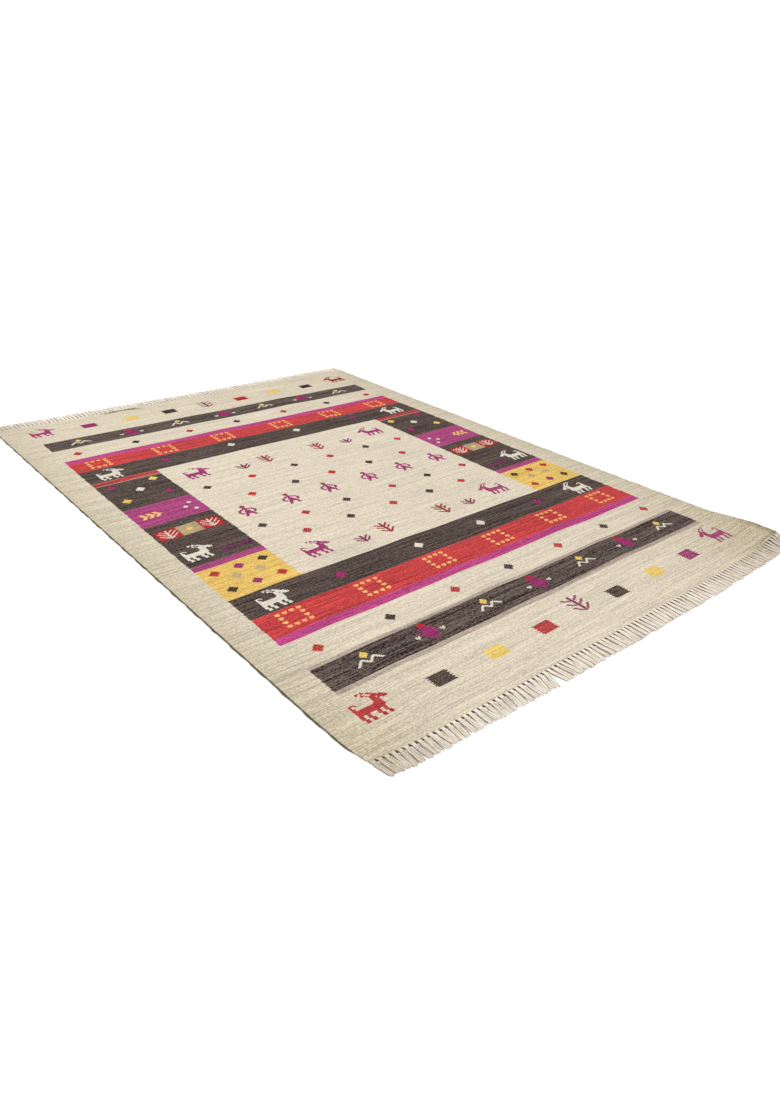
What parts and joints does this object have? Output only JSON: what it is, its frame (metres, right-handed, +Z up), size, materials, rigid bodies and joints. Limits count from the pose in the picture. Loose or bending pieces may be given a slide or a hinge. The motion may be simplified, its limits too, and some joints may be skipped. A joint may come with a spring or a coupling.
{
  "type": "dhurrie rug",
  "caption": "Flat-woven wool dhurrie lying flat, with woven bands and folk figures, one curled corner and a knotted fringe at both ends.",
  "frame": {"origin": "on the floor under the middle of the rug, fringes included", "axes": "+X across the rug along the weft, +Y along its length to the far fringe, +Z up"},
  "size_m": [1.704, 2.5432, 0.021],
  "materials": {
    "wool_weave": "matt weft-faced wool weave, heathered cream ground with coloured bands and woven-in figures",
    "cotton_fringe": "matt unbleached cotton warp ends, knotted in tassels"
  },
  "bodies": {
    "root": {"rug": "wool_weave", "fringe_near": "cotton_fringe", "fringe_far": "cotton_fringe"}
  },
  "joints": []
}
